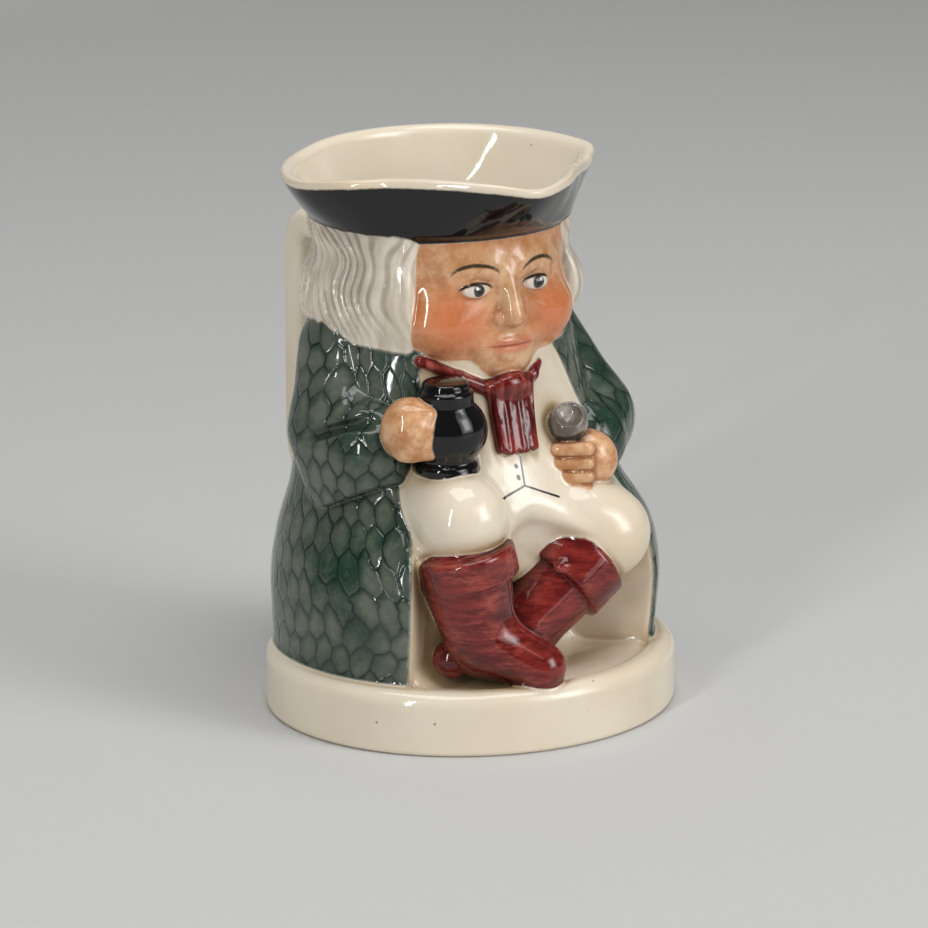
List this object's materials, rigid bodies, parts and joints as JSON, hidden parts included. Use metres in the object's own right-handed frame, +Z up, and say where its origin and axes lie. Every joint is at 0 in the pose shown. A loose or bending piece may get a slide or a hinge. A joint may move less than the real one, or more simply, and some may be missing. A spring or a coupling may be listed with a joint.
{
  "type": "toby jug",
  "caption": "Hollow glazed jug in the form of a seated man in a tricorn hat, with a pouring lip at the hat's front corner and a strap handle behind.",
  "frame": {"origin": "on the ground, under the middle of the whole jug with its handle; the head's axis passes through it", "axes": "+Z up, the man faces -Y with the handle at +Y, +X is his left side"},
  "size_m": [0.116, 0.14, 0.1518],
  "materials": {
    "glazed_earthenware": "gloss glaze over hand-painted colours, cream where bare"
  },
  "bodies": {
    "root": {"toby_jug": "glazed_earthenware"}
  },
  "joints": []
}
